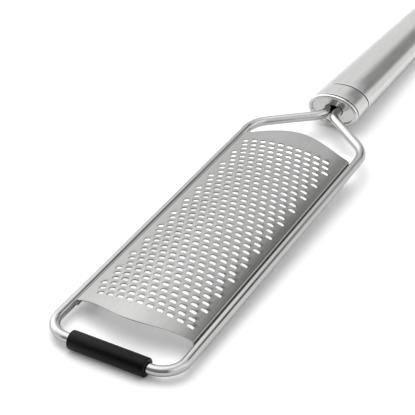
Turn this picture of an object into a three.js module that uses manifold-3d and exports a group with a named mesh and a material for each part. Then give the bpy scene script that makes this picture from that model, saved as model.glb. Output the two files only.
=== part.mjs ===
import * as THREE from 'three';
import { mergeGeometries, mergeVertices } from 'three/addons/utils/BufferGeometryUtils.js';
import Module from 'manifold-3d';

// Hand grater, lying as it is put down: the rubber foot and the tail of the handle touch the table.
// Millimetres, X across the blade, Y from the foot towards the handle, Z up.

// Bent wire frame
const WIRE_R = 2.4;
const FRAME_HALF = 31.4;
const FRONT_BEND_R = 11;
const RAIL_END = 182.5;
const REAR_BEND_R = 16.8;
const ARM_TURN = THREE.MathUtils.degToRad(50.4);
const NECK_BEND_R = 9;
const LEG_GAP = 0.4;
const LEG_HALF = WIRE_R + LEG_GAP / 2;
const WIRE_SIDES = 12;
const BEND_STEP = THREE.MathUtils.degToRad(18);

// Rubber foot on the front bar
const FOOT_R = 4.35;
const FOOT_LENGTH = 38.4;
const FOOT_CHAMFER = 0.55;
const FOOT_SEGMENTS = 20;

// Clearance where one piece sits in or on another
const SEAT = 0.3;

// Arched blade between the rails, with a flange turned down along each rail
const SHEET = 0.6;
const BLADE_HALF = FRAME_HALF - WIRE_R - SEAT;
const BLADE_EDGE_Z = 2.8;
const BLADE_ARCH = 4.6;
const ARCH_STRIPS = 8;
const FLANGE_DROP = 3.8;
const BLADE_FRONT = 20.9;
const BLADE_REAR = 176.8;
const BLADE_BULGE = 5.1;
const BULGE_STEPS = 14;

// Grating holes: three staggered rows repeat along the blade, and each hole has a raised cutting point
const HOLE_ROWS = 36;
const HOLES_PER_ROW = 10;
const ROW_PITCH = 4;
const HOLE_PITCH = 5;
const ROW_SHIFTS = [1.8, 0, -1.8];
const FIRST_ROW = 27.8;
const HOLE_FRONT_W = 2.9;
const HOLE_REAR_W = 2.2;
const HOLE_LENGTH = 2;
const TOOTH_RISE = 0.6;
const TOOTH_HALF_W = 0.95;

// Oval hollow handle, dropping a little from the plane of the frame and tapering to its tail
const HANDLE_PITCH = THREE.MathUtils.degToRad(3);
const HANDLE_HALF_W = 14.45;
const HANDLE_HALF_H = 8.95;
const TAPER = 0.0008;
const TAPER_GROWTH = 0.0000047;
const WALL = 0.9;
const OVAL_SEGMENTS = 24;
const INNER_OVAL = 0.35;
const RIM_START = 1.7;
const RIM_DEPTH = 2;
const RIM_BEAD_R = 0.9;
const BEAD_STEPS = 4;
const DISH_EDGE = 3.4;
const DISH_DEPTH = 1.5;
const CAP_SHEET = 0.9;
const CAP_SKIRT = 6;
const FERRULE_LENGTH = 13.4;
const SEAM = 0.4;
const HANDLE_END = 160;
const TUBE_STEPS = 4;
const CORE_LENGTH = 30;
const CORE_BACKING = 2;

// Tail of the handle: end cap and hanging loop
const TAIL_SKIRT = 7;
const TAIL_FLANGE = 1.6;
const TAIL_CHAMFER = 0.7;
const TAIL_CROWN = 1.4;
const CROWN_STEPS = 2;
const LOOP_R = 1.5;
const LOOP_HALF = 5.6;
const LOOP_INSET = 1;
const LOOP_REACH = 9;
const LOOP_SIDES = 12;

const wasm = await Module();
wasm.setup();

function solid(geometry) {
  const bare = geometry.clone();
  bare.deleteAttribute('normal');
  bare.deleteAttribute('uv');
  const merged = mergeVertices(bare, 1e-4);
  return new wasm.Manifold(new wasm.Mesh({
    numProp: 3,
    vertProperties: new Float32Array(merged.attributes.position.array),
    triVerts: new Uint32Array(merged.index.array),
  }));
}

function geometryOf(manifold) {
  const mesh = manifold.getMesh();
  const geometry = new THREE.BufferGeometry();
  geometry.setAttribute('position', new THREE.BufferAttribute(mesh.vertProperties, 3));
  geometry.setIndex(new THREE.BufferAttribute(mesh.triVerts, 1));
  geometry.computeVertexNormals();
  return geometry;
}

function piece(name, geometry, color, roughness, metalness) {
  const mesh = new THREE.Mesh(geometry, new THREE.MeshStandardMaterial({ color, roughness, metalness }));
  mesh.name = name;
  return mesh;
}

// A bent wire is swept through stations: straight runs need no rings between their ends.
class BentWire extends THREE.Curve {
  constructor(start, heading) {
    super();
    this.stations = [start.clone()];
    this.tangents = [heading.clone()];
    this.heading = heading.clone();
  }

  get steps() {
    return this.stations.length - 1;
  }

  reach(point) {
    this.stations.push(point);
    this.tangents.push(this.heading.clone());
  }

  run(length) {
    this.reach(this.stations[this.steps].clone().addScaledVector(this.heading, length));
    return this;
  }

  bend(axis, radius, angle) {
    const count = Math.ceil(Math.abs(angle) / BEND_STEP);
    const side = Math.sign(angle) * radius;
    const spoke = new THREE.Vector3().crossVectors(this.heading, axis).multiplyScalar(side);
    const centre = this.stations[this.steps].clone().sub(spoke);
    for (let i = 0; i < count; i++) {
      spoke.applyAxisAngle(axis, angle / count);
      this.heading.applyAxisAngle(axis, angle / count);
      this.reach(centre.clone().add(spoke));
    }
    return this;
  }

  // A slight set in the wire: the ring at the corner halves the turn.
  set(heading) {
    this.tangents[this.steps] = this.heading.clone().add(heading).normalize();
    this.heading = heading.clone();
    return this;
  }

  getPointAt(u, target = new THREE.Vector3()) {
    return target.copy(this.stations[Math.round(u * this.steps)]);
  }

  getTangentAt(u, target = new THREE.Vector3()) {
    return target.copy(this.tangents[Math.round(u * this.steps)]);
  }
}

function sweep(path, radius, sides) {
  const section = new THREE.Shape().absarc(0, 0, radius, 0, 2 * Math.PI);
  const settings = { steps: path.steps, curveSegments: sides / 2, extrudePath: path };
  return new THREE.ExtrudeGeometry(section, settings);
}

const X_AXIS = new THREE.Vector3(1, 0, 0);
const Z_AXIS = new THREE.Vector3(0, 0, 1);
const FORWARD = new THREE.Vector3(0, -1, 0);
const BACKWARD = new THREE.Vector3(0, 1, 0);

// Where the arms of the frame come together and turn into the two legs inside the handle
const armFromX = FRAME_HALF - REAR_BEND_R * (1 - Math.cos(ARM_TURN));
const armToX = LEG_HALF + NECK_BEND_R * (1 - Math.cos(ARM_TURN));
const ARM_LENGTH = (armFromX - armToX) / Math.sin(ARM_TURN);
const bendsLength = (REAR_BEND_R + NECK_BEND_R) * Math.sin(ARM_TURN);
const NECK_Y = RAIL_END + bendsLength + ARM_LENGTH * Math.cos(ARM_TURN);

// Stations along the handle, measured from the neck
const FERRULE_START = RIM_START + RIM_DEPTH + SEAT;
const TUBE_START = FERRULE_START + FERRULE_LENGTH + SEAM;
const CORE_START = FERRULE_START + CAP_SKIRT + SEAT;
const CORE_END = CORE_START + CORE_LENGTH;
const LEG_LENGTH = CORE_END - CORE_BACKING;

function wireFrame() {
  const legIn = FORWARD.clone().applyAxisAngle(X_AXIS, -HANDLE_PITCH);
  const legOut = legIn.clone().negate();
  const neck = new THREE.Vector3(-LEG_HALF, NECK_Y, 0);
  const wire = new BentWire(neck.addScaledVector(legOut, LEG_LENGTH), legIn);
  wire.run(LEG_LENGTH).set(FORWARD);
  wire.bend(Z_AXIS, NECK_BEND_R, -ARM_TURN).run(ARM_LENGTH).bend(Z_AXIS, REAR_BEND_R, ARM_TURN);
  wire.run(RAIL_END - FRONT_BEND_R).bend(Z_AXIS, FRONT_BEND_R, Math.PI / 2);
  wire.run(2 * (FRAME_HALF - FRONT_BEND_R)).bend(Z_AXIS, FRONT_BEND_R, Math.PI / 2);
  wire.run(RAIL_END - FRONT_BEND_R).bend(Z_AXIS, REAR_BEND_R, ARM_TURN);
  wire.run(ARM_LENGTH).bend(Z_AXIS, NECK_BEND_R, -ARM_TURN);
  wire.set(legOut).run(LEG_LENGTH);
  return sweep(wire, WIRE_R, WIRE_SIDES);
}

function footSleeve() {
  const half = FOOT_LENGTH / 2;
  const bore = WIRE_R + SEAT;
  const profile = [
    [bore, -half],
    [FOOT_R - FOOT_CHAMFER, -half],
    [FOOT_R, -half + FOOT_CHAMFER],
    [FOOT_R, half - FOOT_CHAMFER],
    [FOOT_R - FOOT_CHAMFER, half],
    [bore, half],
    [bore, -half],
  ];
  return new THREE.LatheGeometry(profile.map(([r, y]) => new THREE.Vector2(r, y)), FOOT_SEGMENTS)
    .rotateZ(Math.PI / 2);
}

function archZ(x) {
  return BLADE_EDGE_Z + BLADE_ARCH * (1 - (x / BLADE_HALF) ** 2);
}

function archSlope(x) {
  return -2 * BLADE_ARCH * x / BLADE_HALF ** 2;
}

// The folded sheet: one section drawn across the blade and run along it
function foldedSheet() {
  const foot = BLADE_EDGE_Z - FLANGE_DROP;
  const over = [];
  const under = [];
  for (let i = 0; i <= ARCH_STRIPS; i++) {
    const share = 2 * i / ARCH_STRIPS - 1;
    const x = share * BLADE_HALF;
    over.push(new THREE.Vector2(x, archZ(x)));
    under.push(new THREE.Vector2(share * (BLADE_HALF - SHEET), archZ(x) - SHEET));
  }
  const section = new THREE.Shape([
    new THREE.Vector2(-BLADE_HALF, foot),
    ...over,
    new THREE.Vector2(BLADE_HALF, foot),
    new THREE.Vector2(BLADE_HALF - SHEET, foot),
    ...under.reverse(),
    new THREE.Vector2(SHEET - BLADE_HALF, foot),
  ].reverse());
  const length = BLADE_REAR - BLADE_FRONT + 4 * BLADE_BULGE;
  return new THREE.ExtrudeGeometry(section, { depth: length, bevelEnabled: false })
    .rotateX(Math.PI / 2)
    .translate(0, BLADE_REAR + 2 * BLADE_BULGE, 0);
}

// The blade's plan: straight sides, both ends swelling out in the middle
function bladePlan() {
  const margin = 1;
  const front = [];
  const rear = [];
  for (let i = 0; i <= BULGE_STEPS; i++) {
    const share = 2 * i / BULGE_STEPS - 1;
    const swell = BLADE_BULGE * (1 + Math.cos(Math.PI * share)) / 2;
    front.push(new THREE.Vector2(share * (BLADE_HALF + margin), BLADE_FRONT - swell));
    rear.push(new THREE.Vector2(-share * (BLADE_HALF + margin), BLADE_REAR + swell));
  }
  const depth = FLANGE_DROP + BLADE_ARCH + 4 * margin;
  return new THREE.ExtrudeGeometry(new THREE.Shape([...front, ...rear]), { depth, bevelEnabled: false })
    .translate(0, 0, BLADE_EDGE_Z - FLANGE_DROP - margin);
}

function holePositions() {
  const places = [];
  for (let row = 0; row < HOLE_ROWS; row++) {
    for (let i = 0; i < HOLES_PER_ROW; i++) {
      const x = (i - (HOLES_PER_ROW - 1) / 2) * HOLE_PITCH + ROW_SHIFTS[row % ROW_SHIFTS.length];
      places.push(new THREE.Vector2(x, FIRST_ROW + row * ROW_PITCH));
    }
  }
  return places;
}

// The punch for one hole, wider at its front than at the cutting point
function holePunch() {
  const depth = 4 * SHEET + 2 * TOOTH_RISE;
  const outline = new THREE.Shape([
    new THREE.Vector2(-HOLE_FRONT_W / 2, -HOLE_LENGTH / 2),
    new THREE.Vector2(HOLE_FRONT_W / 2, -HOLE_LENGTH / 2),
    new THREE.Vector2(HOLE_REAR_W / 2, HOLE_LENGTH / 2),
    new THREE.Vector2(-HOLE_REAR_W / 2, HOLE_LENGTH / 2),
  ]);
  return new THREE.ExtrudeGeometry(outline, { depth, bevelEnabled: false }).translate(0, 0, -3 * SHEET);
}

// The raised cutting point at the rear of one hole: a low pyramid whose front half the punch takes away
function cuttingTooth() {
  const root = SHEET / 2;
  const spread = TOOTH_HALF_W * (TOOTH_RISE + root) / TOOTH_RISE;
  return new THREE.ConeGeometry(spread, TOOTH_RISE + root, 4)
    .rotateX(Math.PI / 2)
    .translate(0, HOLE_LENGTH / 2, (TOOTH_RISE - root) / 2);
}

function graterBlade() {
  const tooth = cuttingTooth();
  const punch = holePunch();
  const teeth = [];
  const punches = [];
  for (const { x, y } of holePositions()) {
    const seat = new THREE.Matrix4().makeRotationY(-Math.atan(archSlope(x))).setPosition(x, y, archZ(x));
    teeth.push(tooth.clone().applyMatrix4(seat));
    punches.push(punch.clone().translate(x, y, archZ(x)));
  }
  const blank = solid(foldedSheet()).intersect(solid(bladePlan()));
  return geometryOf(blank.add(solid(mergeGeometries(teeth))).subtract(solid(mergeGeometries(punches))));
}

function narrowing(y) {
  const behindRim = Math.max(0, y - RIM_START);
  return 1 - TAPER * behindRim - TAPER_GROWTH * behindRim ** 2;
}

function halfWidth(y) {
  return HANDLE_HALF_W * narrowing(y);
}

function flattening(y) {
  return (HANDLE_HALF_W - HANDLE_HALF_H) * narrowing(y);
}

// A turned profile drawn along the handle at its half-width, then pressed to the handle's oval
function ovalTurned(profile) {
  const points = profile.map(([halfW, y]) => new THREE.Vector2(halfW, y));
  const geometry = new THREE.LatheGeometry(points, OVAL_SEGMENTS);
  const position = geometry.attributes.position;
  for (let i = 0; i < position.count; i++) {
    const round = Math.hypot(position.getX(i), position.getZ(i));
    if (round > 0) {
      const halfH = Math.max(round - flattening(position.getY(i)), INNER_OVAL * round);
      position.setZ(i, position.getZ(i) * halfH / round);
    }
  }
  return geometry;
}

function ovalShell(from, to, steps) {
  const ys = Array.from({ length: steps + 1 }, (_, i) => from + (to - from) * i / steps);
  const outer = ys.map((y) => [halfWidth(y), y]);
  const inner = ys.map((y) => [halfWidth(y) - WALL, y]).reverse();
  return ovalTurned([inner.at(-1), ...outer, ...inner]);
}

// The opening that both legs of the frame pass through side by side
function legSlot(from, to) {
  const r = WIRE_R + SEAT;
  const outline = new THREE.Shape()
    .absarc(LEG_HALF, 0, r, -Math.PI / 2, Math.PI / 2)
    .absarc(-LEG_HALF, 0, r, Math.PI / 2, 3 * Math.PI / 2);
  return new THREE.ExtrudeGeometry(outline, { depth: to - from, bevelEnabled: false, curveSegments: 6 })
    .rotateX(Math.PI / 2)
    .translate(0, to, 0);
}

function frontCap() {
  const rim = halfWidth(RIM_START);
  const skirtEnd = FERRULE_START + CAP_SKIRT;
  const skirt = halfWidth(skirtEnd) - WALL - SEAT;
  const face = RIM_START + DISH_DEPTH;
  const bead = Array.from({ length: BEAD_STEPS + 1 }, (_, i) => {
    const turn = Math.PI * (1 - i / BEAD_STEPS);
    return [rim - RIM_BEAD_R * (1 - Math.cos(turn)), RIM_START + RIM_BEAD_R * (1 - Math.sin(turn))];
  });
  const cup = ovalTurned([
    [0, face],
    [rim - DISH_EDGE, face],
    ...bead,
    [rim, RIM_START + RIM_DEPTH],
    [skirt, RIM_START + RIM_DEPTH],
    [skirt, skirtEnd],
    [skirt - CAP_SHEET, skirtEnd],
    [skirt - CAP_SHEET, face + CAP_SHEET],
    [0, face + CAP_SHEET],
  ]);
  return geometryOf(solid(cup).subtract(solid(legSlot(RIM_START, skirtEnd))));
}

function gripCore() {
  const stations = [CORE_START, FERRULE_START + FERRULE_LENGTH, CORE_END];
  const side = stations.map((y) => [halfWidth(y) - WALL - SEAT, y]);
  const plug = ovalTurned([[0, CORE_START], ...side, [0, CORE_END]]);
  return geometryOf(solid(plug).subtract(solid(legSlot(RIM_START, LEG_LENGTH + SEAT))));
}

// Stations of the tail, measured as the handle's are
const TAIL_START = HANDLE_END + SEAT;
const TAIL_EDGE = TAIL_START + TAIL_FLANGE - TAIL_CHAMFER;
const LOOP_ROOT = HANDLE_END - TAIL_SKIRT + LOOP_INSET;
const LOOP_TURN = TAIL_START + TAIL_FLANGE + LOOP_REACH;

function endCap() {
  const edge = halfWidth(HANDLE_END);
  const skirt = edge - WALL - SEAT;
  const crown = Array.from({ length: CROWN_STEPS + 1 }, (_, i) => {
    const share = 1 - i / CROWN_STEPS;
    return [(edge - TAIL_CHAMFER) * share, TAIL_START + TAIL_FLANGE + TAIL_CROWN * (1 - share ** 2)];
  });
  const plug = ovalTurned([
    [0, HANDLE_END - TAIL_SKIRT],
    [skirt, HANDLE_END - TAIL_SKIRT],
    [skirt, TAIL_START],
    [edge, TAIL_START],
    [edge, TAIL_EDGE],
    ...crown,
  ]);
  const depth = 2 * (TAIL_SKIRT + TAIL_FLANGE + TAIL_CROWN);
  const drill = new THREE.CylinderGeometry(LOOP_R + SEAT, LOOP_R + SEAT, depth, LOOP_SIDES);
  const holes = [-LOOP_HALF, LOOP_HALF].map((x) => drill.clone().translate(x, HANDLE_END, 0));
  return geometryOf(solid(plug).subtract(solid(mergeGeometries(holes))));
}

function hangingLoop() {
  const wire = new BentWire(new THREE.Vector3(-LOOP_HALF, LOOP_ROOT, 0), BACKWARD);
  wire.run(LOOP_TURN - LOOP_ROOT).bend(Z_AXIS, LOOP_HALF, -Math.PI).run(LOOP_TURN - LOOP_ROOT);
  return sweep(wire, LOOP_R, LOOP_SIDES);
}

const STEEL_POLISHED = 0xd9dadb;
const STEEL_SATIN = 0xbdbdbb;
const RUBBER = 0x141416;
const MOULDING = 0x3a3a3c;

const handle = new THREE.Group();
handle.position.set(0, NECK_Y, 0);
handle.rotation.x = -HANDLE_PITCH;
handle.add(
  piece('front_cap', frontCap(), STEEL_POLISHED, 0.12, 1),
  piece('front_ferrule', ovalShell(FERRULE_START, FERRULE_START + FERRULE_LENGTH, 1), STEEL_SATIN, 0.35, 1),
  piece('handle_tube', ovalShell(TUBE_START, HANDLE_END, TUBE_STEPS), STEEL_SATIN, 0.35, 1),
  piece('grip_core', gripCore(), MOULDING, 0.6, 0),
  piece('end_cap', endCap(), STEEL_POLISHED, 0.15, 1),
  piece('hanging_loop', hangingLoop(), STEEL_POLISHED, 0.15, 1),
);

// The tool lies on the foot's underside and on the lower edge of the end cap.
const tail = new THREE.Vector3(0, TAIL_EDGE, flattening(TAIL_EDGE) - halfWidth(HANDLE_END))
  .applyAxisAngle(X_AXIS, -HANDLE_PITCH)
  .add(handle.position);
const REST_TILT = -Math.asin(FOOT_R / tail.length()) - Math.atan2(tail.z, tail.y);

const tool = new THREE.Group();
tool.rotation.x = REST_TILT;
tool.add(
  piece('wire_frame', wireFrame(), STEEL_POLISHED, 0.1, 1),
  piece('foot_sleeve', footSleeve(), RUBBER, 0.7, 0),
  piece('grater_blade', graterBlade(), STEEL_SATIN, 0.3, 1),
  handle,
);

// The origin is on the table, under the middle of the tool.
const grater = new THREE.Group();
grater.add(tool);
const box = new THREE.Box3().setFromObject(grater, true);
tool.position.set(0, -(box.min.y + box.max.y) / 2, -box.min.z);

export default grater;
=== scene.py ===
# %% [markdown]
# # A hand grater in steel wire, steel sheet and rubber
#
# The grater lies on a white table. One bent wire carries an arched blade and runs into an oval hollow
# handle, and a rubber sleeve on the front bar is the foot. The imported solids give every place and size.
# Here each piece is modelled again with the curves, rolled edges and finishes that the solids leave out.

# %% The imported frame
import math

import bmesh
import bpy
from mathutils import Matrix, Vector


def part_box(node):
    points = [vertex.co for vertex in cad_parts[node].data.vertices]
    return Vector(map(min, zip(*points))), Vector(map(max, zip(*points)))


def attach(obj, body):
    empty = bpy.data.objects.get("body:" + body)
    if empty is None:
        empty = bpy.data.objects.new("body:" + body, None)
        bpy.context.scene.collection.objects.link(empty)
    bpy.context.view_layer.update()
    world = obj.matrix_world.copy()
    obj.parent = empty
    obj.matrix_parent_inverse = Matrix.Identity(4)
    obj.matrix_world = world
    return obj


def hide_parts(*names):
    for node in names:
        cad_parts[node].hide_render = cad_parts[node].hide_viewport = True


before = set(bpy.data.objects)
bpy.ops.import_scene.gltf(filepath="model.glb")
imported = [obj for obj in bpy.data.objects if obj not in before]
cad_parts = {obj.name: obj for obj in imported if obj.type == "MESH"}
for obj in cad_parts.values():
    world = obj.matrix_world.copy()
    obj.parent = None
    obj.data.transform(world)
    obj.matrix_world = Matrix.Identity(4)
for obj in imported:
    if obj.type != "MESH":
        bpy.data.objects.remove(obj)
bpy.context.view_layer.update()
print("solids:", sorted(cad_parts))

# %% [markdown]
# ## A bench to work on
#
# The grater lies a little tilted, on its foot and on the tail of its handle, and the handle droops from
# the plane of the wire. Modelling on a slope is awkward. So each piece is modelled in millimetres on a
# flat bench, where X runs across the blade, Y along it and Z up from the wire's middle, and one matrix
# puts it in its place at the end. The middle of the front bar is the bench's origin, which the foot's box
# gives.

# %% The bench and its two places
MM = 0.001
REST_TILT = math.radians(1.640)
HANDLE_DROOP = math.radians(3.0)
NECK_Y = 218.47
SAME_PLACE = 0.001

foot_low, foot_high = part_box("foot_sleeve")
bar_middle = Matrix.Translation((foot_low + foot_high) / 2)
BENCH = bar_middle @ Matrix.Rotation(REST_TILT, 4, "X") @ Matrix.Scale(MM, 4)
HANDLE_BENCH = BENCH @ Matrix.Translation((0, NECK_Y, 0)) @ Matrix.Rotation(-HANDLE_DROOP, 4, "X")


def verts_of(geometry):
    return [g for g in geometry if isinstance(g, bmesh.types.BMVert)]


def edges_of(geometry):
    return [g for g in geometry if isinstance(g, bmesh.types.BMEdge)]


def finish_piece(bm, name, place, material, sharp, stands_for):
    """Puts a bench model in its place, as an object that rides on the grater and stands for its solid.

    Edges that turn by more than the sharp angle, in degrees, stay sharp, and all others are smooth.
    """
    bmesh.ops.transform(bm, matrix=place, verts=bm.verts)
    mesh = bpy.data.meshes.new(name)
    bm.to_mesh(mesh)
    bm.free()
    mesh.shade_smooth()
    mesh.set_sharp_from_angle(angle=math.radians(sharp))
    piece = bpy.data.objects.new(name, mesh)
    bpy.context.scene.collection.objects.link(piece)
    piece.data.materials.append(material)
    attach(piece, "root")
    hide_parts(stands_for)
    print(f"{name}: {len(mesh.polygons)} faces")
    return piece


# %% [markdown]
# ## The camera
#
# The picture was taken from the front right, well above the table, with a long lens from about 65 cm
# away. The camera looks at a point on the blade, so its direction is two angles and a distance.

# %% Camera
CAMERA_AIM = Vector((-14.5, -85.3, 8.0)) * MM
CAMERA_AZIMUTH = math.radians(29.22)
CAMERA_ELEVATION = math.radians(33.77)
CAMERA_DISTANCE = 650.2 * MM
CAMERA_ROLL = math.radians(0.2)
LENS_MM = 117.97
SENSOR_MM = 36.0


def direction(azimuth, elevation):
    """A unit vector from the object: azimuth 0 points to the front, and grows to the right."""
    flat = math.cos(elevation)
    return Vector((math.sin(azimuth) * flat, -math.cos(azimuth) * flat, math.sin(elevation)))


camera = bpy.data.objects.new("camera", bpy.data.cameras.new("camera"))
bpy.context.scene.collection.objects.link(camera)
towards_camera = direction(CAMERA_AZIMUTH, CAMERA_ELEVATION)
level = (-towards_camera).to_track_quat("-Z", "Y").to_matrix().to_4x4()
camera.matrix_world = (
    Matrix.Translation(CAMERA_AIM + towards_camera * CAMERA_DISTANCE)
    @ level
    @ Matrix.Rotation(CAMERA_ROLL, 4, "Z")
)
camera.data.lens = LENS_MM
camera.data.sensor_width = SENSOR_MM
bpy.context.scene.camera = camera
bpy.context.scene.view_settings.view_transform = "Standard"
print("camera at", [round(x, 4) for x in camera.matrix_world.translation])

# %% [markdown]
# ## Node helpers
#
# A finish is a small network of shader nodes. Small helpers keep the networks short: they add a node and
# set its sockets, link two sockets, start a material from its main shader, make a stretched noise, and
# spread a noise over a range of values.

# %% Node helpers
NOISE_LOW = 0.3
NOISE_HIGH = 0.7


def add_node(tree, kind, settings=None, **sockets):
    node = tree.nodes.new("ShaderNode" + kind)
    for key, value in (settings or {}).items():
        setattr(node, key, value)
    for key, value in sockets.items():
        node.inputs[key.replace("_", " ")].default_value = value
    return node


def link(tree, source, target):
    tree.links.new(source, target)


def new_material(name, **sockets):
    material = bpy.data.materials.new(name)
    material.use_nodes = True
    shader = material.node_tree.nodes["Principled BSDF"]
    for key, value in sockets.items():
        shader.inputs[key.replace("_", " ")].default_value = value
    return material, material.node_tree, shader


def grain_noise(tree, scale, detail=2.0):
    """Noise on object coordinates, stretched by its scale along X, Y and Z, in cycles per metre."""
    place = add_node(tree, "TexCoord")
    stretch = add_node(tree, "Mapping")
    stretch.inputs["Scale"].default_value = scale
    link(tree, place.outputs["Object"], stretch.inputs["Vector"])
    noise = add_node(tree, "TexNoise", Scale=1.0, Detail=detail)
    link(tree, stretch.outputs["Vector"], noise.inputs["Vector"])
    return noise.outputs["Fac"]


def spread(tree, value, low, high):
    """The middle of a noise, stretched to run from low to high."""
    ramp = add_node(tree, "MapRange", From_Min=NOISE_LOW, From_Max=NOISE_HIGH, To_Min=low, To_Max=high)
    link(tree, value, ramp.inputs["Value"])
    return ramp.outputs["Result"]


# %% [markdown]
# ## The steel finishes
#
# All the metal is stainless steel, finished in different ways. The wire and the caps are polished: what
# shows is their surroundings, slightly softened. The handle is brushed along its length and the blade is
# a satin sheet, so both blur what they reflect. Noise stretched along the grain makes the fine lines, in
# the roughness and as a very shallow bump.

# %% Steel
GRAIN_SHADE = 0.03


def steel(name, colour, roughness, uneven, grain, bump):
    """Steel with a grain: its scale is in lines per metre, its bump in millimetres."""
    material, tree, shader = new_material(name, Metallic=1.0)
    lines = grain_noise(tree, grain)
    link(tree, spread(tree, lines, roughness - uneven, roughness + uneven), shader.inputs["Roughness"])
    tint = add_node(tree, "Mix", {"data_type": "RGBA"})
    dark, light = (socket for socket in tint.inputs if socket.type == "RGBA")
    dark.default_value = tuple(c * (1 - GRAIN_SHADE) for c in colour) + (1,)
    light.default_value = tuple(c * (1 + GRAIN_SHADE) for c in colour) + (1,)
    link(tree, spread(tree, lines, 0, 1), tint.inputs["Factor"])
    mixed = next(socket for socket in tint.outputs if socket.type == "RGBA")
    link(tree, mixed, shader.inputs["Base Color"])
    relief = add_node(tree, "Bump", Strength=1.0, Distance=bump * MM)
    link(tree, lines, relief.inputs["Height"])
    link(tree, relief.outputs["Normal"], shader.inputs["Normal"])
    return material


WIRE_STEEL = steel("polished wire", (0.60, 0.60, 0.59), 0.11, 0.03, (900, 120, 900), 0.0015)
CAP_STEEL = steel("polished cap", (0.82, 0.82, 0.81), 0.15, 0.02, (500, 500, 500), 0.0010)
BLADE_STEEL = steel("satin blade", (0.55, 0.55, 0.54), 0.18, 0.025, (2200, 60, 2200), 0.0006)
HANDLE_STEEL = steel("brushed handle", (0.82, 0.82, 0.81), 0.19, 0.03, (1600, 25, 1600), 0.0008)
print("finishes:", [finish.name for finish in (WIRE_STEEL, CAP_STEEL, BLADE_STEEL, HANDLE_STEEL)])

# %% [markdown]
# ## The wire
#
# The frame is one piece of wire, bent on a machine. The same way works here: a ring of edges is pushed
# along for each straight run and spun round the bend's centre for each bend. Only the right half is bent,
# from the middle of the front bar to the end of the leg in the handle, and then mirrored.

# %% Wire frame
WIRE_R = 2.4
WIRE_SIDES = 32
BEND_STEP = math.radians(6)
FRAME_HALF = 31.85
FRONT_BEND_R = 11.0
RAIL_END = 182.5
REAR_BEND_R = 16.8
ARM_TURN = math.radians(50.4)
ARM_LENGTH = 25.78
NECK_BEND_R = 9.0
DROOP_BEND_R = 12.0
LEG_LENGTH = 38.3

UP = Vector((0, 0, 1))
RIGHT = Vector((1, 0, 0))


class WireBender:
    """Grows a tube from a ring of edges, run by run and bend by bend."""

    def __init__(self, start, heading, radius, sides):
        self.bm = bmesh.new()
        self.at = start.copy()
        self.heading = heading.copy()
        square = UP.rotation_difference(heading).to_matrix().to_4x4()
        made = bmesh.ops.create_circle(
            self.bm, radius=radius, segments=sides, matrix=Matrix.Translation(start) @ square
        )
        self.ring = list({edge for vert in made["verts"] for edge in vert.link_edges})

    def run(self, length):
        grown = bmesh.ops.extrude_edge_only(self.bm, edges=self.ring)["geom"]
        ends = set(verts_of(grown))
        bmesh.ops.translate(self.bm, verts=list(ends), vec=self.heading * length)
        self.ring = [edge for edge in edges_of(grown) if set(edge.verts) <= ends]
        self.at += self.heading * length
        return self

    def bend(self, axis, radius, angle):
        centre = self.at + axis.cross(self.heading) * math.copysign(radius, angle)
        grown = bmesh.ops.spin(
            self.bm,
            geom=self.ring,
            cent=centre,
            axis=axis,
            angle=angle,
            steps=max(2, round(abs(angle) / BEND_STEP)),
        )["geom_last"]
        self.ring = edges_of(grown)
        turn = Matrix.Rotation(angle, 3, axis)
        self.at = centre + turn @ (self.at - centre)
        self.heading = turn @ self.heading
        return self

    def close_end(self):
        bmesh.ops.contextual_create(self.bm, geom=self.ring)
        return self


def mirror_halves(bm):
    bmesh.ops.mirror(bm, geom=bm.verts[:] + bm.edges[:] + bm.faces[:], axis="X", merge_dist=SAME_PLACE)
    bmesh.ops.recalc_face_normals(bm, faces=bm.faces)


def wire_frame():
    wire = WireBender(Vector((0, 0, 0)), RIGHT, WIRE_R, WIRE_SIDES)
    wire.run(FRAME_HALF - FRONT_BEND_R).bend(UP, FRONT_BEND_R, math.pi / 2)
    wire.run(RAIL_END - FRONT_BEND_R).bend(UP, REAR_BEND_R, ARM_TURN)
    wire.run(ARM_LENGTH).bend(UP, NECK_BEND_R, -ARM_TURN)
    print("neck at", [round(x, 2) for x in wire.at])
    wire.bend(RIGHT, DROOP_BEND_R, -HANDLE_DROOP).run(LEG_LENGTH).close_end()
    mirror_halves(wire.bm)
    return finish_piece(wire.bm, "frame_wire", BENCH, WIRE_STEEL, 60, "wire_frame")


wire_frame()

# %% [markdown]
# ## The rubber foot
#
# A short black tube is pulled over the front bar. A profile spun round the bar makes it, and a bevel
# rolls its ends. The rubber is matt, with a fine moulded skin, so it gets a broad soft sheen and a small
# bump.

# %% Foot
FOOT_R = 4.35
FOOT_LEFT = -18.2
FOOT_RIGHT = 19.5
FOOT_BORE = WIRE_R + 0.08
FOOT_ROLL = 0.6
ROLL_FROM = math.radians(30)
ROLL_STEPS = 3
TURN_STEPS = 64
RUBBER_BLACK = (0.0015, 0.0015, 0.0016, 1)
RUBBER_SHEEN = 0.17
RUBBER_ROUGHNESS = (0.24, 0.34)
SKIN_SCALE = (60, 1400, 1400)
SKIN_DETAIL = 3.0
SKIN_BUMP = 0.02


def turned(profile, axis, steps):
    """Spins a profile of (radius, station) points round an axis, closed unless it starts on the axis."""
    bm = bmesh.new()
    ends = [bm.verts.new(UP * radius + axis * station) for radius, station in profile]
    for a, b in zip(ends, ends[1:]):
        bm.edges.new((a, b))
    if profile[0][0] > 0:
        bm.edges.new((ends[-1], ends[0]))
    bmesh.ops.spin(
        bm,
        geom=bm.verts[:] + bm.edges[:],
        cent=(0, 0, 0),
        axis=axis,
        angle=2 * math.pi,
        steps=steps,
        use_merge=True,
    )
    bmesh.ops.remove_doubles(bm, verts=bm.verts, dist=SAME_PLACE / 2)
    bmesh.ops.recalc_face_normals(bm, faces=bm.faces)
    return bm


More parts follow.
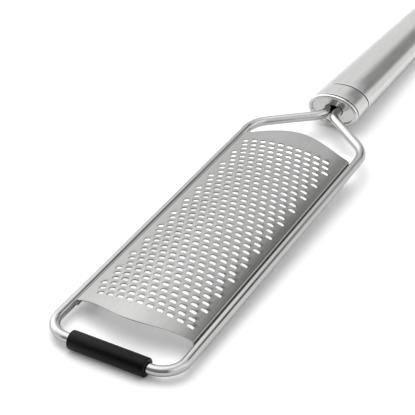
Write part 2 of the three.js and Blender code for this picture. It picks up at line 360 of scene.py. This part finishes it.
def roll_edges(bm, width):
    """Rounds the edges where two faces meet at a clear angle."""
    sharp = [edge for edge in bm.edges if edge.is_manifold and edge.calc_face_angle() > ROLL_FROM]
    bmesh.ops.bevel(
        bm, geom=sharp, offset=width, affect="EDGES", segments=ROLL_STEPS, profile=0.5, material=-1
    )


def rubber():
    material, tree, shader = new_material("black rubber", Base_Color=RUBBER_BLACK, Metallic=0.0)
    shader.inputs["Specular IOR Level"].default_value = RUBBER_SHEEN
    skin = grain_noise(tree, SKIN_SCALE, SKIN_DETAIL)
    link(tree, spread(tree, skin, *RUBBER_ROUGHNESS), shader.inputs["Roughness"])
    relief = add_node(tree, "Bump", Strength=1.0, Distance=SKIN_BUMP * MM)
    link(tree, skin, relief.inputs["Height"])
    link(tree, relief.outputs["Normal"], shader.inputs["Normal"])
    return material


def foot():
    left = [(FOOT_BORE, FOOT_LEFT), (FOOT_R, FOOT_LEFT)]
    right = [(FOOT_R, FOOT_RIGHT), (FOOT_BORE, FOOT_RIGHT)]
    bm = turned(left + right, RIGHT, TURN_STEPS)
    roll_edges(bm, FOOT_ROLL)
    return finish_piece(bm, "rubber_foot", BENCH, rubber(), 60, "foot_sleeve")


foot()

# %% [markdown]
# ## The blade
#
# The blade is punched from one sheet. Rows of holes are staggered along it, and behind each hole the
# sheet is pushed up into a small hood with a cutting edge. Cutting hundreds of holes with booleans leaves
# long thin faces that spoil a reflection. Here the whole sheet is one grid whose columns and rows already
# follow the pattern: the faces at each hole are deleted, the points round it are moved onto the hole's
# outline, and those behind it are raised. Then the sheet is arched, folded down at its sides and given
# its thickness. Its folded edges lie against the inner sides of the rails.

# %% Blade sheet
SHEET = 0.6
BLADE_HALF = 29.48
BLADE_MIDDLE = -0.06
EDGE_Z = 2.2
ARCH = 5.2
FOLD_R = 0.8
FOLD_STEPS = 4
FLANGE_FOOT = -1.0
BLADE_FRONT = 20.9
BLADE_REAR = 176.8
BULGE = 5.1
BULGE_HALF = 29.7

HOLE_ROWS = 36
HOLES_PER_ROW = 10
HOLE_PITCH = 5.0
ROW_PITCH = 4.0
FIRST_ROW = 27.5
COLUMNS_PER_HOLE = 6
ROW_STATIONS = (-1.3, -1.0, -0.2, 0.45, 1.0, 1.5, 2.1)
END_ROWS = 5
HOLE_STATIONS = 3
STAGGER_ROWS = 3
STAGGER_COLUMNS = 2

HOLE_HALF_W = 1.65
HOLE_FRONT = -1.0
HOLE_SHOULDER = -0.2
HOLE_REAR = 0.95
HOLE_SQUARENESS = 0.4
HOOD_RISE = 0.21
HOOD_HALF_W = 1.9
HOOD_END = 2.7

column_width = HOLE_PITCH / COLUMNS_PER_HOLE
arch_slope = 2 * ARCH / BLADE_HALF
fold_from = math.atan(arch_slope)
sheet_half = BLADE_HALF - FOLD_R * (1 - math.sin(fold_from))
half_columns = math.ceil((sheet_half + abs(BLADE_MIDDLE)) / column_width)
period = len(ROW_STATIONS)
sheet_rows = 2 * END_ROWS + HOLE_ROWS * period
print(f"grid of {2 * half_columns} by {sheet_rows}, {HOLE_ROWS * HOLES_PER_ROW} holes")

# %% The sheet's grid


def arch_z(x):
    return EDGE_Z + ARCH * (1 - ((x - BLADE_MIDDLE) / BLADE_HALF) ** 2)


def end_swell(x):
    return BULGE * (1 + math.cos(math.pi * x / BULGE_HALF)) / 2


def column_x(column):
    x = (column - half_columns) * column_width
    return max(BLADE_MIDDLE - sheet_half, min(BLADE_MIDDLE + sheet_half, x))


def row_y(row, x):
    """The rows follow the pattern between the ends, and fan out to the swelling end edges."""
    first = FIRST_ROW + ROW_STATIONS[0]
    last = first + HOLE_ROWS * ROW_PITCH
    inner = row - END_ROWS
    if inner < 0:
        edge = BLADE_FRONT - end_swell(x)
        return edge + (first - edge) * row / END_ROWS
    if inner > HOLE_ROWS * period:
        edge = BLADE_REAR + end_swell(x)
        return last + (edge - last) * (inner - HOLE_ROWS * period) / END_ROWS
    return FIRST_ROW + (inner // period) * ROW_PITCH + ROW_STATIONS[inner % period]


# %% One hole and its hood


def smooth_step(value):
    share = max(0.0, min(1.0, value))
    return share * share * (3 - 2 * share)


def hood_height(x, y):
    """How far the sheet is pushed up at a point, measured from its hole's middle."""
    across = smooth_step(1 - abs(x) / HOOD_HALF_W)
    if y < HOLE_REAR:
        along = smooth_step((y - HOLE_SHOULDER) / (HOLE_REAR - HOLE_SHOULDER))
    else:
        along = smooth_step((HOOD_END - y) / (HOOD_END - HOLE_REAR))
    return HOOD_RISE * across * along


def hole_outline(step, steps):
    """A point on the hole's sides and arched rear, from its right shoulder round to its left one."""
    turn = math.pi * step / steps
    x = math.copysign(abs(math.cos(turn)) ** HOLE_SQUARENESS, math.cos(turn))
    y = max(0.0, math.sin(turn)) ** HOLE_SQUARENESS
    return HOLE_HALF_W * x, HOLE_SHOULDER + (HOLE_REAR - HOLE_SHOULDER) * y


def punch(points, column, row):
    """Moves the points round one hole, whose front edge is in the row, and returns the faces to delete."""
    middle_x = column_x(column)
    middle_y = row_y(row, 0) - HOLE_FRONT
    half = COLUMNS_PER_HOLE // 2 - 1
    front, rear = row, row + HOLE_STATIONS
    block = set()
    for c in range(column - half, column + half + 1):
        block.update(points[c, r] for r in range(front, rear + 1))
    touching = {face for vert in block for face in vert.link_faces}
    inside = [face for face in touching if block.issuperset(face.verts)]
    rim = [(column + half, r) for r in range(front + 1, rear)]
    rim += [(c, rear) for c in range(column + half, column - half - 1, -1)]
    rim += [(column - half, r) for r in range(rear - 1, front, -1)]
    for step, key in enumerate(rim):
        x, y = hole_outline(step, len(rim) - 1)
        points[key].co = (middle_x + x, middle_y + y, 0)
    for c in range(-half, half + 1):
        points[column + c, front].co = (middle_x + HOLE_HALF_W * c / half, middle_y + HOLE_FRONT, 0)
    for r in range(front, front + period):
        for c in range(column - half, column + half + 1):
            point = points[c, r]
            point.co.z = hood_height(point.co.x - middle_x, point.co.y - middle_y)
    return inside


# %% Punched, arched and folded


def punched_sheet():
    bm = bmesh.new()
    columns = 2 * half_columns
    made = bmesh.ops.create_grid(bm, x_segments=columns, y_segments=sheet_rows, size=1)
    points = {}
    for vert in made["verts"]:
        column = round((vert.co.x + 1) / 2 * columns)
        row = round((vert.co.y + 1) / 2 * sheet_rows)
        points[column, row] = vert
    for (column, row), vert in points.items():
        x = column_x(column)
        vert.co = (x, row_y(row, x), 0)
    waste = []
    for row in range(HOLE_ROWS):
        shift = STAGGER_COLUMNS * (1 - row % STAGGER_ROWS)
        for hole in range(HOLES_PER_ROW):
            from_middle = hole - (HOLES_PER_ROW - 1) / 2
            column = half_columns + shift + round(from_middle * COLUMNS_PER_HOLE)
            waste += punch(points, column, END_ROWS + row * period + 1)
    bmesh.ops.delete(bm, geom=waste, context="FACES")
    for vert in bm.verts:
        vert.co.z += arch_z(vert.co.x)
    return bm


def fold_sides(bm):
    for side in (-1, 1):
        edge_x = BLADE_MIDDLE + side * sheet_half
        rim = [e for e in bm.edges if e.is_boundary]
        edge = [e for e in rim if all(abs(v.co.x - edge_x) < SAME_PLACE for v in e.verts)]
        centre_x = edge_x - side * FOLD_R * math.sin(fold_from)
        centre = Vector((centre_x, 0, arch_z(edge_x) - FOLD_R * math.cos(fold_from)))
        grown = bmesh.ops.spin(
            bm, geom=edge, cent=centre, axis=(0, side, 0), angle=math.pi / 2 - fold_from, steps=FOLD_STEPS
        )["geom_last"]
        flange = bmesh.ops.extrude_edge_only(bm, edges=edges_of(grown))["geom"]
        drop = FLANGE_FOOT - verts_of(flange)[0].co.z
        bmesh.ops.translate(bm, verts=verts_of(flange), vec=(0, 0, drop))


def blade():
    bm = punched_sheet()
    fold_sides(bm)
    bmesh.ops.recalc_face_normals(bm, faces=bm.faces)
    top = max(bm.faces, key=lambda face: face.calc_center_median().z)
    if top.normal.z < 0:
        bmesh.ops.reverse_faces(bm, faces=bm.faces)
    bmesh.ops.solidify(bm, geom=bm.faces[:], thickness=SHEET)
    return finish_piece(bm, "toothed_blade", BENCH, BLADE_STEEL, 50, "grater_blade")


blade()

# %% [markdown]
# ## The handle
#
# The handle is an oval steel tube that narrows to its tail, with a short ring in front of a fine groove.
# A round form is spun from a profile first and then pressed to the oval: each ring keeps its width and
# loses as much height as the handle does there. The same press shapes the caps, so everything fits. The
# ends get small rounded corners: no real steel edge is sharp, and the rounding catches a thin line of
# light beside the groove.

# %% Handle tube and ring
HANDLE_HALF_W = 14.45
HANDLE_HALF_H = 8.95
TAPER = 0.0008
TAPER_GROWTH = 0.0000047
WALL = 0.9
RIM_START = 1.7
RING_START = 4.35
RING_END = 17.05
RING_STATIONS = 2
TUBE_START = 18.05
TUBE_END = 160.0
TUBE_STATIONS = 12
CORNER_STEPS = 5
SEAM_CORNER = (0.25, 0.2)
GROOVE_CORNER = (0.25, 0.2)
OVAL_STEPS = 96
INNER_OVAL = 0.35
ALONG = Vector((0, 1, 0))


def narrowing(y):
    behind = max(0.0, y - RIM_START)
    return 1 - TAPER * behind - TAPER_GROWTH * behind**2


def half_width(y):
    return HANDLE_HALF_W * narrowing(y)


def press_oval(verts):
    for vert in verts:
        x, y, z = vert.co
        round_r = math.hypot(x, z)
        if round_r > 0:
            flatter = (HANDLE_HALF_W - HANDLE_HALF_H) * narrowing(y)
            vert.co.z = z * max(round_r - flatter, INNER_OVAL * round_r) / round_r


def corner(inset, size):
    """How far a rounded corner falls below the full radius, at a distance from the end of the tube."""
    length, depth = size
    share = 1 - min(1.0, inset / length)
    return depth * (1 - math.sqrt(1 - share * share))


def oval_shell(name, start, end, stations, front, rear, node):
    turns = [math.pi / 2 * i / CORNER_STEPS for i in range(CORNER_STEPS + 1)]
    ys = [start + front[0] * (1 - math.cos(turn)) for turn in turns]
    first, last = ys[-1], end - rear[0]
    ys += [first + (last - first) * i / stations for i in range(1, stations)]
    ys += [end - rear[0] * (1 - math.cos(turn)) for turn in reversed(turns)]
    outer = [(half_width(y) - corner(y - start, front) - corner(end - y, rear), y) for y in ys]
    inner = [(half_width(y) - WALL, y) for y in (end, start)]
    bm = turned(outer + inner, ALONG, OVAL_STEPS)
    press_oval(bm.verts)
    return finish_piece(bm, name, HANDLE_BENCH, HANDLE_STEEL, 60, node)


oval_shell("handle_ring", RING_START, RING_END, RING_STATIONS, SEAM_CORNER, GROOVE_CORNER, "front_ferrule")
oval_shell("handle_grip", TUBE_START, TUBE_END, TUBE_STATIONS, GROOVE_CORNER, SEAM_CORNER, "handle_tube")

# %% [markdown]
# ## The front cap
#
# A polished plate closes the handle round the two legs of the wire. Its edge is rolled to a bead, with a
# fine seam between the bead and the face and another between the bead and the ring. One profile is turned
# and pressed like the ring. The face is not pressed: its rings are drawn from the oval edge to a slot
# that fits round both legs.

# %% Front cap
BEAD_R = 1.15
BEAD_STEPS = 12
BEAD_BACK = RIM_START + 1.6
BEAD_CORNER = 0.2
ROUND_CUT = 0.3
FACE_SEAM = 0.06
SEAM_DEPTH = 0.25
SEAM_SLANT = 0.4
FACE_STATION = RIM_START + 1.4
FACE_DISH = 0.3
FACE_STEPS = 10
CAP_SHEET = 0.9
CAP_BACK = RIM_START + 3.0
CAP_SKIRT_END = 10.0
CAP_CLEARANCE = 0.3
LEG_X = 2.63
SLOT_R = WIRE_R + 0.35
SLOT_RING = 4.0
SLOT_DRAW = 2.2


def leg_slot(turn):
    """A point on the opening for the two legs: a circle drawn apart into a slot."""
    apart = max(-1.0, min(1.0, SLOT_DRAW * math.cos(turn)))
    return LEG_X * apart + SLOT_R * math.cos(turn), SLOT_R * math.sin(turn)


def open_slot(verts, face_r):
    """Draws the inner rings of the face to the slot, and less and less towards the face's edge."""
    edge_h = face_r - (HANDLE_HALF_W - HANDLE_HALF_H)
    for vert in verts:
        x, y, z = vert.co
        turn = math.atan2(z, x)
        share = (math.hypot(x, z) - SLOT_RING) / (face_r - SLOT_RING)
        slot_x, slot_z = leg_slot(turn)
        vert.co.x = slot_x + (face_r * math.cos(turn) - slot_x) * share
        vert.co.z = slot_z + (edge_h * math.sin(turn) - slot_z) * share


def front_cap():
    rim = half_width(RIM_START)
    face_r = rim - 2 * BEAD_R - FACE_SEAM
    face = []
    for i in range(FACE_STEPS + 1):
        share = i / FACE_STEPS
        radius = SLOT_RING + (face_r - SLOT_RING) * share
        face.append((radius, FACE_STATION + FACE_DISH * (1 - share * share)))
    bead = []
    for i in range(BEAD_STEPS + 1):
        turn = math.pi * (1 - i / BEAD_STEPS)
        bead.append((rim - BEAD_R * (1 - math.cos(turn)), RIM_START + BEAD_R * (1 - math.sin(turn))))
    skirt = half_width(CAP_SKIRT_END) - WALL - CAP_CLEARANCE
    inside = [
        (rim, BEAD_BACK - BEAD_CORNER),
        (rim - ROUND_CUT * BEAD_CORNER, BEAD_BACK - ROUND_CUT * BEAD_CORNER),
        (rim - BEAD_CORNER, BEAD_BACK),
        (skirt, BEAD_BACK),
        (skirt, CAP_SKIRT_END),
        (skirt - CAP_SHEET, CAP_SKIRT_END),
        (skirt - CAP_SHEET, CAP_BACK),
        (SLOT_RING, CAP_BACK),
    ]
    seam_floor = CAP_BACK - SEAM_DEPTH
    seam = [(face_r + SEAM_SLANT * FACE_SEAM, seam_floor), (face_r + FACE_SEAM, seam_floor)]
    bm = turned(face + seam + bead + inside, ALONG, OVAL_STEPS)
    on_face = [vert for vert in bm.verts if math.hypot(vert.co.x, vert.co.z) < face_r + SAME_PLACE]
    press_oval(set(bm.verts) - set(on_face))
    open_slot(on_face, face_r)
    return finish_piece(bm, "handle_front_cap", HANDLE_BENCH, CAP_STEEL, 50, "front_cap")


front_cap()

# %% [markdown]
# ## The tail
#
# A domed cap closes the tube, and a loop of thinner wire comes out of it, to hang the grater by. The cap
# is turned and pressed like the tube. The loop is bent like the frame: a straight run, half a turn and a
# run back.

# %% Tail cap and hanging loop
TAIL_START = 160.3
TAIL_FLANGE = 1.6
TAIL_CHAMFER = 0.7
TAIL_CROWN = 1.4
CROWN_STEPS = 6
TAIL_SKIRT = 7.0
LOOP_R = 1.5
LOOP_SIDES = 24
LOOP_HALF = 5.6
LOOP_ROOT = 154.0
LOOP_TURN = 170.9


def tail_cap():
    edge = half_width(TUBE_END)
    skirt = edge - WALL - CAP_CLEARANCE
    crown = []
    for i in range(CROWN_STEPS + 1):
        share = 1 - i / CROWN_STEPS
        station = TAIL_START + TAIL_FLANGE + TAIL_CROWN * (1 - share**2)
        crown.append(((edge - TAIL_CHAMFER) * share, station))
    profile = [
        (0, TUBE_END - TAIL_SKIRT),
        (skirt, TUBE_END - TAIL_SKIRT),
        (skirt, TAIL_START),
        (edge, TAIL_START),
        (edge, TAIL_START + TAIL_FLANGE - TAIL_CHAMFER),
    ]
    bm = turned(profile + crown, ALONG, OVAL_STEPS)
    press_oval(bm.verts)
    return finish_piece(bm, "handle_tail_cap", HANDLE_BENCH, CAP_STEEL, 35, "end_cap")


def hanging_loop():
    wire = WireBender(Vector((LOOP_HALF, LOOP_ROOT, 0)), ALONG, LOOP_R, LOOP_SIDES)
    wire.close_end()
    leg = LOOP_TURN - LOOP_ROOT
    wire.run(leg).bend(UP, LOOP_HALF, math.pi).run(leg).close_end()
    bmesh.ops.recalc_face_normals(wire.bm, faces=wire.bm.faces)
    return finish_piece(wire.bm, "tail_loop", HANDLE_BENCH, WIRE_STEEL, 60, "hanging_loop")


tail_cap()
hanging_loop()

# %% [markdown]
# ## The plug
#
# Inside the handle a moulded plug holds the two legs. Hardly anything of it shows, so it keeps its packed
# solid and only gets a finish: dark, and a little uneven.

# %% Plug
PLUG_GREY = (0.05, 0.05, 0.05, 1)
PLUG_ROUGHNESS = (0.5, 0.7)
SPECKLE_SCALE = (400, 400, 400)


def plain_moulding():
    material, tree, shader = new_material("core moulding", Base_Color=PLUG_GREY)
    speckle = grain_noise(tree, SPECKLE_SCALE)
    link(tree, spread(tree, speckle, *PLUG_ROUGHNESS), shader.inputs["Roughness"])
    return material


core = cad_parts["grip_core"]
core.data.materials.clear()
core.data.materials.append(plain_moulding())
print("plug:", len(core.data.polygons), "faces")

# %% [markdown]
# ## The table
#
# The table is white and has no edge in the picture, so a disc a little larger than the grater is enough:
# the white background goes on behind it. The lamps make the open table white and leave it grey in the
# grater's shadow. The kind of ray that arrives makes two small differences. Steel mirrors a greyer copy of
# the table, which is painted shade in its reflections, so that the handle does not melt into it. And the
# camera sees painted light on the table, a glow that no lamp gives: a strong soft patch under the blade,
# so that the holes show white, and a weak one under the front gap, which lightens the shadow there.

# %% Table
TABLE_R = 0.4
TABLE_SIDES = 96
TABLE_WHITE = 0.96
# Painted shade: mirrored rays see the table greyer than it is, so the steel reflects a shaded copy of it.
TABLE_MIRRORED_SHADED = 0.72
TABLE_GLOW = 0.05
TABLE_ROUGHNESS = 0.8
# Painted light: soft patches of glow that only the camera sees, under the holes and under the front gap,
# where no lamp puts that light.
PAINTED_LIGHT_PATCHES = (
    ("under the holes", (-0.050, -0.045, 0.026, 0.030), (-0.164, -0.160, 0.000, 0.004), 0.70),
    ("under the front gap", (-0.034, -0.028, 0.024, 0.030), (-0.200, -0.192, -0.164, -0.160), 0.10),
)


def multiply(tree, first, second):
    product = add_node(tree, "Math", {"operation": "MULTIPLY"})
    link(tree, first, product.inputs[0])
    if isinstance(second, float):
        product.inputs[1].default_value = second
    else:
        link(tree, second, product.inputs[1])
    return product.outputs[0]


def add_up(tree, first, second):
    total = add_node(tree, "Math", {"operation": "ADD"})
    link(tree, first, total.inputs[0])
    link(tree, second, total.inputs[1])
    return total.outputs[0]


def soft_range(tree, value, start, full_from, full_to, end):
    """One between the two middle values, with a soft edge down to zero on each side."""
    soft = {"interpolation_type": "SMOOTHSTEP"}
    rise = add_node(tree, "MapRange", soft, From_Min=start, From_Max=full_from)
    fall = add_node(tree, "MapRange", soft, From_Min=end, From_Max=full_to)
    link(tree, value, rise.inputs["Value"])
    link(tree, value, fall.inputs["Value"])
    return multiply(tree, rise.outputs["Result"], fall.outputs["Result"])


def table():
    bm = bmesh.new()
    bmesh.ops.create_circle(bm, cap_ends=True, radius=TABLE_R, segments=TABLE_SIDES)
    mesh = bpy.data.meshes.new("table")
    bm.to_mesh(mesh)
    bm.free()
    top = bpy.data.objects.new("table", mesh)
    bpy.context.scene.collection.objects.link(top)
    material, tree, shader = new_material("white table", Roughness=TABLE_ROUGHNESS)
    path = add_node(tree, "LightPath")
    # Painted shade in reflections: glossy rays get the greyer copy of the table, and all other rays get
    # the white one.
    white = add_node(tree, "MapRange", To_Min=TABLE_WHITE, To_Max=TABLE_MIRRORED_SHADED)
    link(tree, path.outputs["Is Glossy Ray"], white.inputs["Value"])
    link(tree, white.outputs["Result"], shader.inputs["Base Color"])
    shader.inputs["Specular IOR Level"].default_value = 0.0
    shader.inputs["Emission Color"].default_value = (1, 1, 1, 1)
    split = add_node(tree, "SeparateXYZ")
    link(tree, add_node(tree, "TexCoord").outputs["Object"], split.inputs[0])
    # The camera alone sees this glow: an even one over the whole table, plus the painted light of the
    # patches.
    glow = add_node(tree, "Value").outputs[0]
    glow.default_value = TABLE_GLOW
    for place, sides, depths, strength in PAINTED_LIGHT_PATCHES:
        across = soft_range(tree, split.outputs["X"], *sides)
        along = soft_range(tree, split.outputs["Y"], *depths)
        glow = add_up(tree, glow, multiply(tree, multiply(tree, across, along), strength))
        print("light", place, strength)
    seen = multiply(tree, glow, path.outputs["Is Camera Ray"])
    link(tree, seen, shader.inputs["Emission Strength"])
    mesh.materials.append(material)


table()

# %% [markdown]
# ## The lamps
#
# The shadows are short and soft, and they fall to the front and the right. So the main lamp is large and
# stands high at the back left, and a weaker one nearly straight above fills in. A lamp shows in polished
# steel as a hard white square, so both are hidden from mirrored rays, and the surroundings give the steel
# what it mirrors.

# %% Lamps
LAMP_DISTANCE = 1.6
LAMP_SIZE = 1.2
KEY_FROM = direction(math.radians(180 + 46), math.radians(54))
KEY_POWER = 9.0
TOP_FROM = direction(math.radians(180 + 20), math.radians(82))
TOP_POWER = 2.6


def soft_lamp(name, towards, power):
    """A large square lamp that shines on the grater and does not show in its steel."""
    data = bpy.data.lights.new(name, "AREA")
    data.shape = "SQUARE"
    data.size = LAMP_SIZE
    data.energy = power
    lamp = bpy.data.objects.new(name, data)
    bpy.context.scene.collection.objects.link(lamp)
    lamp.location = towards * LAMP_DISTANCE
    lamp.rotation_mode = "QUATERNION"
    lamp.rotation_quaternion = (-towards).to_track_quat("-Z", "Y")
    lamp.visible_glossy = False
    print(name, power, "W at", [round(x, 2) for x in lamp.location])


soft_lamp("key lamp", KEY_FROM, KEY_POWER)
soft_lamp("top lamp", TOP_FROM, TOP_POWER)

# %% [markdown]
# ## The surroundings
#
# Polished steel shows the room round it, so the room is built from soft patches of light and dark. A
# round panel is a cone about a direction, which a dot product finds. A wall is a range of angles round
# the grater times a range of heights. The bright ones stand high at the left and along the right. The
# dark ones are a gap behind the handle, which gives the grey bands on the wire, on the handle and on the
# right side of the blade, and the room in front, where the camera stands. The camera itself sees plain
# white. Angles are in degrees: round from straight behind the grater to the right, and up from the table.

# %% Surroundings
STUDIO = 0.75
PANELS = (
    ("large round panel, high at the left", (-76, 64), (15, 42), 0.76),
    ("glow beside it, lower and further back", (-54, 38), (4, 24), 0.34),
)
WALLS = (
    ("bright wall at the left", (-126, -90, -70, -38), (0, 6, 30, 46), 0.86),
    ("dark gap behind the handle", (-16, -2, 19, 29), (16, 21, 34, 38), -0.50),
    ("upper end of the gap", (-5, 6, 26, 40), (36, 44, 47, 56), -0.62),
    ("right part of the gap", (19, 27, 33, 42), (24, 30, 43, 47), -0.30),
    ("bright wall at the right", (34, 44, 70, 84), (-10, 0, 22, 34), 0.22),
    ("soft light from the right", (50, 72, 108, 128), (8, 24, 50, 68), 0.36),
    ("dark room in front, left half", (-220, -200, -150, -130), (-8, 4, 44, 76), -0.52),
    ("dark room in front, right half", (126, 140, 200, 220), (-8, 4, 44, 76), -0.52),
)


def round_panel(tree, ray, towards, size, strength):
    """Light from a round panel with a soft edge."""
    azimuth, elevation = (math.radians(angle) for angle in towards)
    full, end = (math.cos(math.radians(angle)) for angle in size)
    facing = add_node(tree, "VectorMath", {"operation": "DOT_PRODUCT"})
    link(tree, ray, facing.inputs[0])
    facing.inputs[1].default_value = direction(math.pi - azimuth, elevation)
    soft = {"interpolation_type": "SMOOTHSTEP"}
    edge = add_node(tree, "MapRange", soft, From_Min=end, From_Max=full, To_Max=strength)
    link(tree, facing.outputs["Value"], edge.inputs["Value"])
    return edge.outputs["Result"]


def surroundings():
    world = bpy.data.worlds.new("studio")
    world.use_nodes = True
    bpy.context.scene.world = world
    tree = world.node_tree
    tree.nodes.clear()
    ray = add_node(tree, "TexCoord").outputs["Generated"]
    split = add_node(tree, "SeparateXYZ")
    link(tree, ray, split.inputs[0])
    azimuth = add_node(tree, "Math", {"operation": "ARCTAN2"})
    link(tree, split.outputs["X"], azimuth.inputs[0])
    link(tree, split.outputs["Y"], azimuth.inputs[1])
    elevation = add_node(tree, "Math", {"operation": "ARCSINE"})
    link(tree, split.outputs["Z"], elevation.inputs[0])
    light = add_node(tree, "Value").outputs[0]
    light.default_value = STUDIO
    for name, towards, size, strength in PANELS:
        light = add_up(tree, light, round_panel(tree, ray, towards, size, strength))
        print(name, strength)
    for name, sides, heights, strength in WALLS:
        across = soft_range(tree, azimuth.outputs[0], *map(math.radians, sides))
        upward = soft_range(tree, elevation.outputs[0], *map(math.radians, heights))
        light = add_up(tree, light, multiply(tree, multiply(tree, across, upward), strength))
        print(name, strength)
    studio = add_node(tree, "Background", Color=(1, 1, 1, 1))
    link(tree, light, studio.inputs["Strength"])
    white = add_node(tree, "Background", Color=(1, 1, 1, 1), Strength=1.0)
    mix = add_node(tree, "MixShader")
    link(tree, add_node(tree, "LightPath").outputs["Is Camera Ray"], mix.inputs[0])
    link(tree, studio.outputs[0], mix.inputs[1])
    link(tree, white.outputs[0], mix.inputs[2])
    link(tree, mix.outputs[0], add_node(tree, "OutputWorld").inputs["Surface"])


surroundings()
